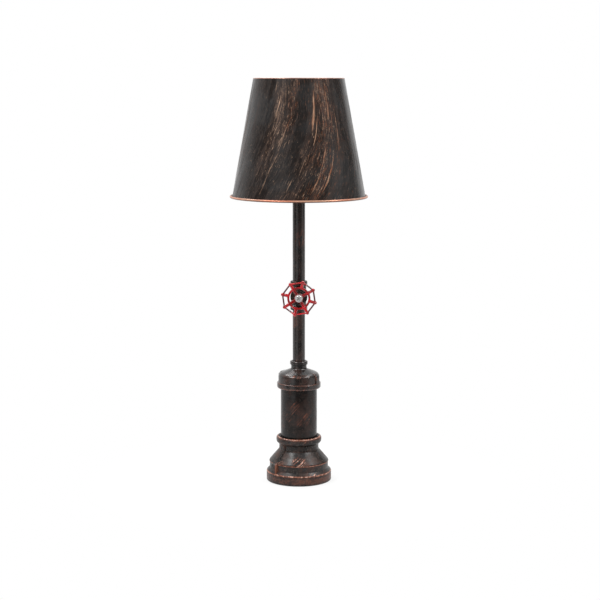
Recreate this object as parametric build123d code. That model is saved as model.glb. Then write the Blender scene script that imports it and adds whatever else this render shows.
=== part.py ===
from build123d import *
import os
from math import radians, tan

# A table lamp built of pipe fittings: a ribbed reducer is the foot, a stub of wide tube joins it to a
# second reducer, and a slim pole carries a valve tee, whose handwheel turns the switch, and an open
# cone shade. Millimetres, +Z up, origin under the middle of the foot, handwheel towards -Y.

# Fits, shared by every pair of pieces
screw_fit = 0.1  # radial room between pieces that screw or press together
running_fit = 0.05  # radial room of the spindle in the switch
drop_in_fit = 0.3  # room of a piece that drops into a recess
weld_fit = 0.15  # room between a flat tab and the curved wall that it is welded to
overrun = 1.0  # how far a cut passes the face that it opens
edge_ease = 0.5  # small rounding on turned edges
side_share = 0.48  # most of a side that one corner's rounding may take

# Felt, plate and weight in the foot
pad_thickness = 1.8
pad_proud = 0.8  # how far the felt stands below the casting
plate_border = 4.0  # how far the plate stays inside the flange's edge
plate_thickness = 2.0
plate_screw_count = 3
plate_screw_radius = 1.5
plate_screw_length = 9.0
plate_screw_head_radius = 2.6
plate_screw_head_height = 1.5
weight_gap = 1.0  # between the weight and the casting
weight_height = 16.0
weight_hole_radius = 11.0
weight_slot_width = 10.0  # slot that lets the cord in to the middle
weight_screw_circle = 23.0
weight_screw_count = 2
weight_screw_radius = 2.0
weight_screw_length = 11.0
weight_screw_head_radius = 3.6
weight_screw_head_height = 1.8

# Base reducer, the cast foot
base_flange_radius = 50.2
base_flange_height = 14.7  # upright face below the bevel
base_bevel = 4.8  # from the flange's edge up and in to the channel
base_edge_round = 1.4
base_channel_height = 9.4  # from the bevel to the shoulder's lower edge
base_shoulder_lip = 0.6  # how far the shoulder stands out over the channel
base_shoulder_height = 1.9  # upright band of the shoulder
base_shoulder_round = 3.0
base_cone_height = 18.0
base_neck_radius = 30.5
base_neck_height = 7.7
base_neck_round = 2.5
base_collar_radius = 34.95
base_collar_slope = 4.2  # height of the sloping underside of the collar
base_collar_height = 12.6
base_collar_round = 3.4
base_mouth_room = 3.5  # width of the bevel round the tube
base_mouth_depth = 4.0
base_wall = 5.2
base_cone_wall_drop = 2.6  # how far the cone starts lower inside than outside
base_rib_width = 10.0
base_rib_inset = 0.3  # how far the rib's face stands behind the flange's edge
base_rib_rise = 0.5  # how far the rib stands out of the cone
base_rib_neck_rise = 1.5  # how far the rib stands out of the neck
base_rib_angles = (217.5, 37.5)  # degrees from +X

# Bush in the cord's hole
bush_height = 9.0  # from the table to the hole's middle
bush_bore_radius = 3.1
bush_shank_radius = 3.9
bush_head_radius = 5.1
bush_head_thickness = 2.0
bush_face_depth = 0.5  # depth of the flat that the head sits on

# Terminals on the weight
block_width = 26.0
block_depth = 14.0
block_height = 13.0
block_forward = 19.0  # from the lamp's axis
block_round = 1.0
block_well_count = 3
block_well_pitch = 6.5
block_well_radius = 2.2
block_well_depth = 4.0
block_screw_offset = 10.0
block_screw_radius = 1.5
block_screw_head_radius = 2.8
block_screw_head_height = 2.0
block_screw_grip = 5.0  # how far it goes into the weight

# Wide tube
tube_radius = 27.95
tube_wall = 2.5
tube_show = 74.8  # length that shows between the two castings
tube_base_seat = 17.0  # length inside the base's collar
tube_cap_seat = 14.0  # length inside the upper reducer

# Upper reducer, from the wide tube to the pole
cap_flange_radius = 33.75
cap_flange_height = 8.6
cap_edge_round = 2.6
cap_body_radius = 31.75
cap_body_height = 14.3  # from the flange's top to the shoulder's corner
cap_shoulder_round = 5.0
cap_dome_height = 7.6
cap_dome_wall = 5.6  # upright thickness of the sloping top
cap_neck_radius = 12.0
cap_neck_height = 6.8
cap_neck_round = 4.0
cap_bead_radius = 13.6
cap_bead_height = 5.8
cap_bead_round = 2.2
cap_mouth_room = 1.5  # width of the bevel round the pole
cap_mouth_depth = 1.6
cap_rib_width = 9.5
cap_rib_inset = 0.2
cap_rib_rise = 1.2  # how far the rib stands out of the shoulder
cap_rib_reach_share = 0.45  # how far up the sloping top the rib fades out
cap_rib_angles = (332, 152)  # degrees from +X
rib_bury = 1.5  # how far a rib is rooted in its casting
rib_round = 0.6

# Pole
pole_radius = 9.5
pole_wall = 1.8
pole_cap_seat = 14.0
lower_pole_show = 79.5
upper_pole_show = 151.4

# Valve tee
tee_reach = 22.6  # from the tee's centre to the end of each arm
tee_body_radius = 11.4
tee_branch_radius = 10.5
tee_collar_radius = 13.05
tee_collar_length = 7.6
tee_collar_round = 1.8
tee_neck_round = 1.0
tee_crotch_round = 1.6
tee_pole_seat = 13.0
tee_branch_bore_radius = 8.6

# Switch, its plug and nut in the tee's branch, measured forwards from the tee's centre
plug_spigot_length = 5.0
plug_head_flats = 19.0
plug_head_thickness = 3.0
switch_body_radius = 7.4
switch_body_length = 14.0
switch_neck_radius = 4.0
switch_neck_show = 3.2  # how far the neck stands out of the plug's head
switch_bore_depth = 6.0  # how far the spindle goes into the body
switch_terminal_width = 10.0
switch_terminal_depth = 7.0
nut_flats = 12.0
nut_thickness = 2.4
spindle_radius = 3.0
spindle_flat = 2.2  # from the spindle's axis to its flat
spindle_end_gap = 0.3

# Handwheel
wheel_stand = 38.0  # from the tee's centre to the rim's middle plane
wheel_dish = 5.4  # how far the hub's middle lies behind the rim
wheel_ring_dish_share = 0.6  # how much of the dish is inside the ring
wheel_turn = 30.8  # degrees from +X to the first corner
wheel_corner_count = 8
wheel_corner_radius = 25.4  # to the middle of each corner's knob
wheel_knob_radius = 2.5
wheel_knob_depth = 4.8
wheel_knob_round = 1.6
wheel_bar_width = 2.4
wheel_bar_depth = 4.0
wheel_spoke_root_width = 5.4
wheel_spoke_tip_width = 4.2
wheel_spoke_depth = 4.4
wheel_ring_radius = 16.0
wheel_ring_width = 3.3
wheel_ring_depth = 4.8
wheel_web_count = 4
wheel_web_width = 5.0
wheel_web_depth = 4.2
wheel_hub_radius = 6.6
wheel_hub_length = 6.5
wheel_hub_round = 1.2
washer_radius = 6.0
washer_thickness = 0.8
wheel_screw_radius = 2.0
wheel_screw_grip = 8.0
wheel_screw_head_radius = 5.2
wheel_screw_head_height = 2.6
wheel_screw_head_round = 2.2

# Inner cable
cable_radius = 2.5
cable_rise = 42.0  # upright run above the terminals
cable_lean = 56.0  # height over which it crosses to the lamp's axis
cable_bend_radius = 90.0

# Lampholder
top_bush_flange = 3.0
top_bush_spigot = 10.0
nipple_radius = 5.0
nipple_bore_radius = 3.4
nipple_rise = 9.0  # how far the nipple goes into the lampholder
holder_radius = 20.5
holder_boss_radius = 8.0
holder_boss_height = 5.0
holder_cone_height = 10.0
holder_rim_height = 7.0
holder_rim_recess = 2.0  # depth of the step that the insert sits in
holder_ledge = 1.5  # width of that step
insert_radius = 17.4
insert_height = 12.0
insert_well_radius = 9.0
insert_well_depth = 6.0
sleeve_radius = 19.8
sleeve_height = 37.0
sleeve_mouth_radius = 14.2
sleeve_lip = 2.0
shell_bore_radius = 13.35
shell_wall = 0.5
shell_height = 24.0
contact_length = 13.0
contact_width = 6.0
contact_rise = 4.0
contact_thickness = 0.6
contact_bend_shares = (-0.5, -0.13, 0.17, 0.5)  # ends and bends along its length

# Rings and spider that hold the shade
ring_flange_radius = 28.0
ring_flange_thickness = 2.0
ring_hub_wall = 2.6
ring_hub_height = 7.0
spider_seat = 11.0  # from the sleeve's lower end to the spider
spider_thickness = 1.5
spider_ring_radius = 29.0
spider_arm_count = 3
spider_arm_width = 9.0
spider_arm_turn = 90  # degrees from +X to the first arm
spider_tab_height = 14.0

# Shade
shade_top_radius = 68.7
shade_foot_radius = 101.3  # outside, at the rim wire's middle
shade_height = 178.2  # from the rim wire's middle to the top edge
shade_thickness = 1.0
shade_hem_height = 5.0
shade_hem_thickness = 0.7
shade_spider_height = 58.2  # from the rim wire's middle to the spider
rim_wire_radius = 1.85

# Levels above the table
casting_z = pad_proud
plate_top_z = pad_thickness + plate_thickness
weight_top_z = plate_top_z + weight_height
block_top_z = weight_top_z + block_height
base_bevel_z = casting_z + base_flange_height
base_channel_z = base_bevel_z + base_bevel
base_shoulder_z = base_channel_z + base_channel_height
base_cone_z = base_shoulder_z + base_shoulder_height
base_neck_z = base_cone_z + base_cone_height
base_collar_z = base_neck_z + base_neck_height
base_top_z = base_collar_z + base_collar_height
tube_bottom_z = base_top_z - tube_base_seat
cap_z = base_top_z + tube_show
tube_top_z = cap_z + tube_cap_seat
cap_body_z = cap_z + cap_flange_height
cap_dome_z = cap_body_z + cap_body_height
cap_neck_z = cap_dome_z + cap_dome_height
cap_bead_z = cap_neck_z + cap_neck_height
cap_top_z = cap_bead_z + cap_bead_height
lower_pole_bottom_z = cap_top_z - pole_cap_seat
tee_bottom_z = cap_top_z + lower_pole_show
lower_pole_top_z = tee_bottom_z + tee_pole_seat
tee_z = tee_bottom_z + tee_reach
tee_top_z = tee_z + tee_reach
upper_pole_top_z = tee_top_z + upper_pole_show
holder_z = upper_pole_top_z + top_bush_flange
holder_cone_z = holder_z + holder_boss_height
holder_rim_z = holder_cone_z + holder_cone_height
sleeve_z = holder_rim_z + holder_rim_height
insert_z = sleeve_z - holder_rim_recess
shell_z = insert_z + insert_height
sleeve_top_z = sleeve_z + sleeve_height
spider_z = sleeve_z + spider_seat
shade_foot_z = spider_z - shade_spider_height
shade_top_z = shade_foot_z + shade_height

# Radii and lengths that follow from those above
tube_inner_radius = tube_radius - tube_wall
pole_inner_radius = pole_radius - pole_wall
plate_radius = base_flange_radius - plate_border
base_body_radius = base_flange_radius - base_bevel
base_shoulder_radius = base_body_radius + base_shoulder_lip
base_cavity_radius = base_body_radius - base_wall
base_neck_bore_radius = base_neck_radius - base_wall
plate_screw_circle = (base_cavity_radius + plate_radius) / 2  # middle of the ledge over the plate
plug_head = tee_reach
plug_front = plug_head + plug_head_thickness
switch_front = plug_head - plug_spigot_length
switch_back = switch_front - switch_body_length
wheel_ring_rise = wheel_dish * wheel_ring_dish_share
wheel_hub_middle = wheel_stand - wheel_dish
wheel_hub_back = wheel_hub_middle - wheel_hub_length / 2
wheel_hub_front = wheel_hub_middle + wheel_hub_length / 2
sleeve_inner_radius = insert_radius + drop_in_fit

# From a piece turned about +Z to one turned about the tee's branch
branch = Pos(0, 0, tee_z) * Rot(90, 0, 0)


def limited_rounds(outline):
    """The rounding of each corner, kept to what its two sides have room for."""
    points = [Vector(radius, height) for radius, height, rounding in outline]
    rounds = []
    for index, (radius, height, rounding) in enumerate(outline):
        before = points[index - 1] - points[index]
        after = points[(index + 1) % len(points)] - points[index]
        room = min(before.length, after.length) * side_share
        rounds.append(min(rounding, room * tan(radians(before.get_angle(after) / 2))))
    return rounds


def turned(outline):
    """A solid of revolution; each point of the outline is radius, height, rounding."""
    points = [(radius, height) for radius, height, rounding in outline]
    wire = FilletPolyline(*points, radius=limited_rounds(outline), close=True)
    return revolve(Plane.XZ * make_face(wire), Axis.Z)


def ring(outer, inner, bottom, top, ease=0):
    """A plain tube, or a disc where inner is zero."""
    return turned([(inner, bottom, 0), (outer, bottom, ease), (outer, top, ease), (inner, top, 0)])


def upright_plate(points, width, angle):
    """A plate cut to an outline of radius and height, standing on edge at an angle round the axis."""
    outline = make_face(Polyline(*points, close=True))
    return Rot(0, 0, angle) * extrude(Plane.XZ * outline, width / 2, both=True)


def around(shape, count, radius, start=0):
    """Copies of a shape on a circle."""
    step = 360 / count
    return [Rot(0, 0, start + step * index) * Pos(radius, 0, 0) * shape for index in range(count)]


def countersunk(shank_radius, head_radius, head_height, length):
    """A countersunk screw, or its hole, with the head's face at height zero and the shank upwards."""
    return turned(
        [
            (0, 0, 0),
            (head_radius, 0, 0),
            (shank_radius, head_height, 0),
            (shank_radius, length, 0),
            (0, length, 0),
        ]
    )


def plate_screws(room=0, extra=0):
    """The screws through the base plate, or with room and extra length their holes."""
    screw = countersunk(
        plate_screw_radius + room,
        plate_screw_head_radius + room,
        plate_screw_head_height,
        plate_screw_length + extra,
    )
    return around(Pos(0, 0, pad_thickness) * screw, plate_screw_count, plate_screw_circle)


def weight_screws(room=0, extra=0):
    """The screws that hold the weight, or with room and extra length their holes."""
    screw = countersunk(
        weight_screw_radius + room,
        weight_screw_head_radius + room,
        weight_screw_head_height,
        weight_screw_length + extra,
    )
    return around(Pos(0, 0, pad_thickness) * screw, weight_screw_count, weight_screw_circle)


def base_plate():
    plate = ring(plate_radius, 0, pad_thickness, plate_top_z)
    return plate - plate_screws(screw_fit) - weight_screws(screw_fit)


def ballast_weight():
    weight = ring(
        base_cavity_radius - weight_gap, weight_hole_radius, plate_top_z, weight_top_z, edge_ease
    )
    slot_box = Box(
        weight_slot_width,
        base_cavity_radius,
        weight_height + overrun * 2,
        align=(Align.CENTER, Align.MIN, Align.CENTER),
    )
    slot = Pos(0, 0, plate_top_z + weight_height / 2) * slot_box
    return weight - slot - weight_screws(screw_fit, screw_fit) - terminal_screw(screw_fit)


def base_reducer():
    body = turned(
        [
            (base_flange_radius, casting_z, edge_ease),
            (base_flange_radius, base_bevel_z, base_edge_round),
            (base_body_radius, base_channel_z, edge_ease),
            (base_body_radius, base_shoulder_z, 0),
            (base_shoulder_radius, base_shoulder_z, edge_ease),
            (base_shoulder_radius, base_cone_z, base_shoulder_round),
            (base_neck_radius, base_neck_z, base_neck_round),
            (base_neck_radius, base_collar_z, edge_ease),
            (base_collar_radius, base_collar_z + base_collar_slope, base_collar_round),
            (base_collar_radius, base_top_z, base_collar_round),
            (tube_radius + base_mouth_room, base_top_z, edge_ease),
            (tube_radius + screw_fit, base_top_z - base_mouth_depth, 0),
            (tube_radius + screw_fit, tube_bottom_z, 0),
            (base_neck_bore_radius, tube_bottom_z, 0),
            (base_neck_bore_radius, base_neck_z - base_cone_wall_drop, 0),
            (base_cavity_radius, base_cone_z - base_cone_wall_drop, 0),
            (base_cavity_radius, plate_top_z, 0),
            (plate_radius + drop_in_fit, plate_top_z, 0),
            (plate_radius + drop_in_fit, casting_z, 0),
        ]
    )
    rib_outline = [
        (base_body_radius - rib_bury, base_bevel_z - rib_bury),
        (base_flange_radius - base_rib_inset, base_bevel_z - rib_bury),
        (base_flange_radius - base_rib_inset, base_shoulder_z),
        (base_shoulder_radius + base_rib_rise, base_cone_z),
        (base_neck_radius + base_rib_neck_rise, base_neck_z),
        (base_neck_radius + base_rib_neck_rise, base_collar_z + rib_bury),
        (base_neck_radius - rib_bury, base_collar_z + rib_bury),
        (base_neck_radius - rib_bury, base_neck_z - rib_bury),
        (base_body_radius - rib_bury, base_cone_z - rib_bury),
    ]
    for angle in base_rib_angles:
        rib = upright_plate(rib_outline, base_rib_width, angle)
        body += fillet(rib.edges(), rib_round)
    outside = base_flange_radius + overrun
    hole = cord_hole(bush_shank_radius + screw_fit, base_cavity_radius - base_wall, outside)
    face = cord_hole(bush_head_radius + drop_in_fit, base_flange_radius - bush_face_depth, outside)
    return body - hole - face - plate_screws(screw_fit, drop_in_fit)


def cord_hole(radius, start, end):
    """A round bar along +Y at the height of the cord's hole."""
    return Pos(0, 0, bush_height) * Rot(-90, 0, 0) * ring(radius, 0, start, end)


def cord_bush():
    seat = base_flange_radius - bush_face_depth
    head = seat + bush_head_thickness
    sleeve = turned(
        [
            (bush_bore_radius, base_cavity_radius, 0),
            (bush_shank_radius, base_cavity_radius, 0),
            (bush_shank_radius, seat, 0),
            (bush_head_radius, seat, 0),
            (bush_head_radius, head, bush_head_thickness / 2),
            (bush_bore_radius, head, edge_ease),
        ]
    )
    return Pos(0, 0, bush_height) * Rot(-90, 0, 0) * sleeve


def terminal_block():
    body = Pos(0, -block_forward, weight_top_z + block_height / 2) * fillet(
        Box(block_width, block_depth, block_height).edges().filter_by(Axis.Z), block_round
    )
    face = -block_forward - block_depth / 2
    well = Rot(90, 0, 0) * ring(block_well_radius, 0, -block_well_depth, overrun)
    middle = (block_well_count - 1) / 2
    for index in range(block_well_count):
        place = (index - middle) * block_well_pitch
        body -= Pos(place, face, weight_top_z + block_height / 2) * well
    return body - terminal_screw(screw_fit)


def terminal_screw(room=0):
    """The screw through the terminals into the weight, or with room its hole."""
    screw = turned(
        [
            (0, weight_top_z - block_screw_grip - room, 0),
            (block_screw_radius + room, weight_top_z - block_screw_grip - room, 0),
            (block_screw_radius + room, block_top_z, 0),
            (block_screw_head_radius + room, block_top_z, 0),
            (block_screw_head_radius + room, block_top_z + block_screw_head_height, edge_ease),
            (0, block_top_z + block_screw_head_height, 0),
        ]
    )
    return Pos(-block_screw_offset, -block_forward, 0) * screw


def upper_reducer():
    dome_slope_inner = cap_dome_z - cap_dome_wall
    body = turned(
        [
            (tube_radius + screw_fit, cap_z, edge_ease),
            (cap_flange_radius, cap_z, cap_edge_round),
            (cap_flange_radius, cap_body_z, cap_edge_round / 2),
            (cap_body_radius, cap_body_z, edge_ease),
            (cap_body_radius, cap_dome_z, cap_shoulder_round),
            (cap_neck_radius, cap_neck_z, cap_neck_round),
            (cap_neck_radius, cap_bead_z, edge_ease),
            (cap_bead_radius, cap_bead_z, cap_bead_round),
            (cap_bead_radius, cap_top_z, cap_bead_round),
            (pole_radius + cap_mouth_room, cap_top_z, 0),
            (pole_radius + screw_fit, cap_top_z - cap_mouth_depth, 0),
            (pole_radius + screw_fit, lower_pole_bottom_z, 0),
            (pole_inner_radius, lower_pole_bottom_z, 0),
            (pole_inner_radius, cap_neck_z - cap_dome_wall, 0),
            (tube_inner_radius, dome_slope_inner, 0),
            (tube_inner_radius, tube_top_z, 0),
            (tube_radius + screw_fit, tube_top_z, 0),
        ]
    )
    dome_width = cap_body_radius - cap_neck_radius
    shoulder_in = cap_shoulder_round / 2
    shoulder_z = cap_dome_z + cap_dome_height * shoulder_in / dome_width
    fade_radius = cap_body_radius - dome_width * cap_rib_reach_share
    fade_z = cap_dome_z + cap_dome_height * cap_rib_reach_share
    rib_outline = [
        (cap_body_radius - rib_bury, cap_body_z - rib_bury),
        (cap_flange_radius - cap_rib_inset, cap_body_z - rib_bury),
        (cap_flange_radius - cap_rib_inset, cap_dome_z - shoulder_in),
        (cap_body_radius - shoulder_in, shoulder_z + cap_rib_rise),
        (fade_radius, fade_z),
        (fade_radius, fade_z - rib_bury),
        (cap_body_radius - cap_shoulder_round, cap_dome_z - rib_bury),
        (cap_body_radius - rib_bury, cap_dome_z - cap_shoulder_round),
    ]
    for angle in cap_rib_angles:
        rib = upright_plate(rib_outline, cap_rib_width, angle)
        body += fillet(rib.edges(), rib_round)
    return body


def tee_arm(body_radius):
    """Half of a pipe run, from the tee's centre up to its collar."""
    return turned(
        [
            (0, 0, 0),
            (body_radius, 0, 0),
            (body_radius, tee_reach - tee_collar_length, tee_neck_round),
            (tee_collar_radius, tee_reach - tee_collar_length, tee_collar_round),
            (tee_collar_radius, tee_reach, tee_collar_round),
            (0, tee_reach, 0),
        ]
    )


def valve_tee():
    arm = tee_arm(tee_body_radius)
    body = arm + Rot(180, 0, 0) * arm + Rot(90, 0, 0) * tee_arm(tee_branch_radius)
    crotch = body.edges().filter_by(lambda edge: edge.geom_type not in (GeomType.CIRCLE, GeomType.LINE))
    body = fillet(crotch, tee_crotch_round)
    body -= ring(pole_inner_radius, 0, -tee_reach, tee_reach)
    seat = ring(pole_radius + screw_fit, 0, tee_reach - tee_pole_seat, tee_reach + overrun)
    body -= [seat, Rot(180, 0, 0) * seat]
    body -= Rot(90, 0, 0) * ring(tee_branch_bore_radius, 0, switch_back, tee_reach + overrun)
    return Pos(0, 0, tee_z) * body


def hexagon(flats, bottom, top):
    return Pos(0, 0, bottom) * extrude(RegularPolygon(flats / 2, 6, major_radius=False), top - bottom)


def branch_plug():
    plug = hexagon(plug_head_flats, plug_head, plug_front)
    plug += ring(tee_branch_bore_radius - screw_fit, 0, switch_front, plug_head)
    plug -= ring(switch_neck_radius + screw_fit, 0, switch_front - overrun, plug_front + overrun)
    return branch * plug


def switch_nut():
    nut_front = plug_front + nut_thickness
    nut = hexagon(nut_flats, plug_front, nut_front)
    nut -= ring(switch_neck_radius + screw_fit, 0, plug_front - overrun, nut_front + overrun)
    return branch * nut


def rotary_switch():
    neck_front = plug_front + switch_neck_show
    bore_back = switch_front - switch_bore_depth
    body = turned(
        [
            (0, switch_back, 0),
            (switch_body_radius, switch_back, 0),
            (switch_body_radius, switch_front, edge_ease),
            (switch_neck_radius, switch_front, 0),
            (switch_neck_radius, neck_front, edge_ease),
            (spindle_radius + running_fit, neck_front, 0),
            (spindle_radius + running_fit, bore_back, 0),
            (0, bore_back, 0),
        ]
    )
    terminals = Pos(0, 0, switch_back - switch_terminal_depth / 2) * Box(
        switch_terminal_width, switch_terminal_width, switch_terminal_depth
    )
    return branch * (body + terminals)


def flatted_bar(radius, flat, start, end):
    """A round bar with one flat along it."""
    section = Circle(radius)
    section -= Pos(flat + radius / 2, 0) * Rectangle(radius, radius * 2)
    return Pos(0, 0, start) * extrude(section, end - start)


def switch_spindle():
    back = switch_front - switch_bore_depth + spindle_end_gap
    front = wheel_hub_front - spindle_end_gap
    bar = ring(spindle_radius, 0, back, wheel_hub_back)
    bar += flatted_bar(spindle_radius, spindle_flat, wheel_hub_back, front)
    bar -= wheel_screw_hole(front)
    return branch * Rot(0, 0, wheel_turn) * bar


def wheel_screw_hole(front):
    depth = wheel_screw_grip + spindle_end_gap
    return ring(wheel_screw_radius + running_fit, 0, wheel_hub_front - depth, front + overrun)


def handwheel():
    step = 360 / wheel_corner_count
    knob_plane = Plane.YZ.offset(wheel_corner_radius) * Pos(0, wheel_dish)
    ring_plane = Plane.YZ.offset(wheel_ring_radius) * Pos(0, wheel_ring_rise)
    spoke = loft(
        [
            ring_plane * Ellipse(wheel_spoke_root_width / 2, wheel_spoke_depth / 2),
            knob_plane * Ellipse(wheel_spoke_tip_width / 2, wheel_spoke_depth / 2),
        ]
    )
    web_root = (spindle_radius + wheel_hub_radius) / 2
    web_section = Ellipse(wheel_web_width / 2, wheel_web_depth / 2)
    web = loft([Plane.YZ.offset(web_root) * web_section, ring_plane * web_section])
    half_knob = wheel_knob_depth / 2
    knob = ring(wheel_knob_radius, 0, wheel_dish - half_knob, wheel_dish + half_knob, wheel_knob_round)
    half_turn = Vector(wheel_corner_radius, 0).rotate(Axis.Z, step / 2)
    bar_section = Plane.XZ * Ellipse(wheel_bar_width / 2, wheel_bar_depth / 2)
    bar = Pos(half_turn.X, 0, wheel_dish) * extrude(bar_section, half_turn.Y, both=True)
    ring_section = Ellipse(wheel_ring_depth / 2, wheel_ring_width / 2, rotation=90)
    inner_ring = revolve(Plane.XZ * Pos(wheel_ring_radius, wheel_ring_rise) * ring_section, Axis.Z)
    half_hub = wheel_hub_length / 2
    hub = ring(wheel_hub_radius, 0, -half_hub, half_hub, wheel_hub_round)
    hub -= flatted_bar(
        spindle_radius + screw_fit, spindle_flat + screw_fit, -half_hub - overrun, half_hub + overrun
    )
    rim = Part() + around(knob, wheel_corner_count, wheel_corner_radius)
    rim += around(bar, wheel_corner_count, 0, step / 2)
    wheel = hub + Rot(0, 0, step / 2) * inner_ring + around(web, wheel_web_count, 0)
    wheel += around(spoke, wheel_corner_count, 0)
    wheel += rim
    return branch * Pos(0, 0, wheel_hub_middle) * Rot(0, 0, wheel_turn) * wheel


def wheel_washer():
    return branch * ring(
        washer_radius, wheel_screw_radius + screw_fit, wheel_hub_front, wheel_hub_front + washer_thickness
    )


def wheel_screw():
    seat = wheel_hub_front + washer_thickness
    head = seat + wheel_screw_head_height
    screw = turned(
        [
            (0, wheel_hub_front - wheel_screw_grip, 0),
            (wheel_screw_radius, wheel_hub_front - wheel_screw_grip, 0),
            (wheel_screw_radius, seat, 0),
            (wheel_screw_head_radius, seat, 0),
            (wheel_screw_head_radius, head, wheel_screw_head_round),
            (0, head, 0),
        ]
    )
    return branch * screw


def lower_cable():
    """From the terminals up the wide tube and the pole to the switch."""
    switch_z = tee_z - switch_terminal_width / 2
    crossing_z = block_top_z + cable_rise
    path = FilletPolyline(
        (0, -block_forward, block_top_z),
        (0, -block_forward, crossing_z),
        (0, 0, crossing_z + cable_lean),
        (0, 0, switch_z),
        radius=cable_bend_radius,
    )
    return sweep(Plane(path @ 0, z_dir=path % 0) * Circle(cable_radius), path)


def lampholder_cap():
    inner = insert_radius - holder_ledge
    floor = holder_z + nipple_rise
    return turned(
        [
            (nipple_radius + screw_fit, holder_z, 0),
            (holder_boss_radius, holder_z, edge_ease),
            (holder_boss_radius, holder_cone_z, edge_ease),
            (holder_radius, holder_rim_z, holder_rim_height / 2),
            (holder_radius, sleeve_z, edge_ease),
            (sleeve_inner_radius, sleeve_z, 0),
            (sleeve_inner_radius, insert_z, 0),
            (inner, insert_z, 0),
            (inner, holder_rim_z, 0),
            (holder_boss_radius, floor, 0),
            (nipple_radius + screw_fit, floor, 0),
        ]
    )


def lampholder_insert():
    well_z = shell_z - insert_well_depth
    return turned(
        [
            (0, insert_z, 0),
            (insert_radius, insert_z, 0),
            (insert_radius, shell_z, edge_ease),
            (insert_well_radius, shell_z, 0),
            (insert_well_radius, well_z, 0),
            (0, well_z, 0),
        ]
    )


def lampholder_sleeve():
    lip_z = sleeve_top_z - sleeve_lip
    return turned(
        [
            (sleeve_inner_radius, sleeve_z, 0),
            (sleeve_radius, sleeve_z, 0),
            (sleeve_radius, sleeve_top_z, edge_ease),
            (sleeve_mouth_radius, sleeve_top_z, edge_ease),
            (sleeve_mouth_radius, lip_z, 0),
            (sleeve_inner_radius, lip_z, 0),
        ]
    )


def centre_contact():
    """A strip bent up from the floor of the insert's well."""
    rises = (0, 0, contact_rise, contact_rise)
    low = [(share * contact_length, rise) for share, rise in zip(contact_bend_shares, rises)]
    high = [(place, rise + contact_thickness) for place, rise in reversed(low)]
    strip = upright_plate(low + high, contact_width, 0)
    return Pos(0, 0, shell_z - insert_well_depth) * strip


def shade_ring():
    """A flanged ring nut on the sleeve, its flange's face at height zero and its hub upwards."""
    bore = sleeve_radius + screw_fit
    return turned(
        [
            (bore, 0, 0),
            (ring_flange_radius, 0, edge_ease),
            (ring_flange_radius, ring_flange_thickness, edge_ease),
            (bore + ring_hub_wall, ring_flange_thickness, 0),
            (bore + ring_hub_wall, ring_hub_height, edge_ease),
            (bore, ring_hub_height, 0),
        ]
    )


def shade_wall_radius(height):
    """The shade's outer radius at a height above the table."""
    rise = (height - shade_foot_z) / shade_height
    return shade_foot_radius + (shade_top_radius - shade_foot_radius) * rise


def spider_ring():
    """The ring that the two ring nuts clamp, clear of the sleeve."""
    return ring(spider_ring_radius, sleeve_radius + drop_in_fit, spider_z, spider_z + spider_thickness)


def spider_arms():
    """Three strips from the ring's edge to tabs on the shade's wall, welded at both ends."""
    top = spider_z + spider_thickness
    tab_z = spider_z - spider_tab_height
    inside = shade_thickness + weld_fit
    arm_outline = [
        (sleeve_radius, spider_z),
        (shade_wall_radius(spider_z) - inside - spider_thickness, spider_z),
        (shade_wall_radius(tab_z) - inside - spider_thickness, tab_z),
        (shade_wall_radius(tab_z) - inside, tab_z),
        (shade_wall_radius(top) - inside, top),
        (sleeve_radius, top),
    ]
    arm = upright_plate(arm_outline, spider_arm_width, 0)
    arm -= ring(spider_ring_radius, 0, spider_z - overrun, top + overrun)
    return around(arm, spider_arm_count, 0, spider_arm_turn)


def shade_cone():
    hem_z = shade_top_z - shade_hem_height
    hem_inside = shade_thickness + shade_hem_thickness
    return turned(
        [
            (shade_foot_radius - shade_thickness, shade_foot_z, 0),
            (shade_foot_radius, shade_foot_z, 0),
            (shade_top_radius, shade_top_z, edge_ease),
            (shade_top_radius - hem_inside, shade_top_z, edge_ease),
            (shade_wall_radius(hem_z) - hem_inside, hem_z, 0),
            (shade_wall_radius(hem_z) - shade_thickness, hem_z, 0),
        ]
    )


def shade_rim():
    middle = shade_foot_radius + rim_wire_radius + screw_fit
    return revolve(Plane.XZ * Pos(middle, shade_foot_z) * Circle(rim_wire_radius), Axis.Z)


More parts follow.
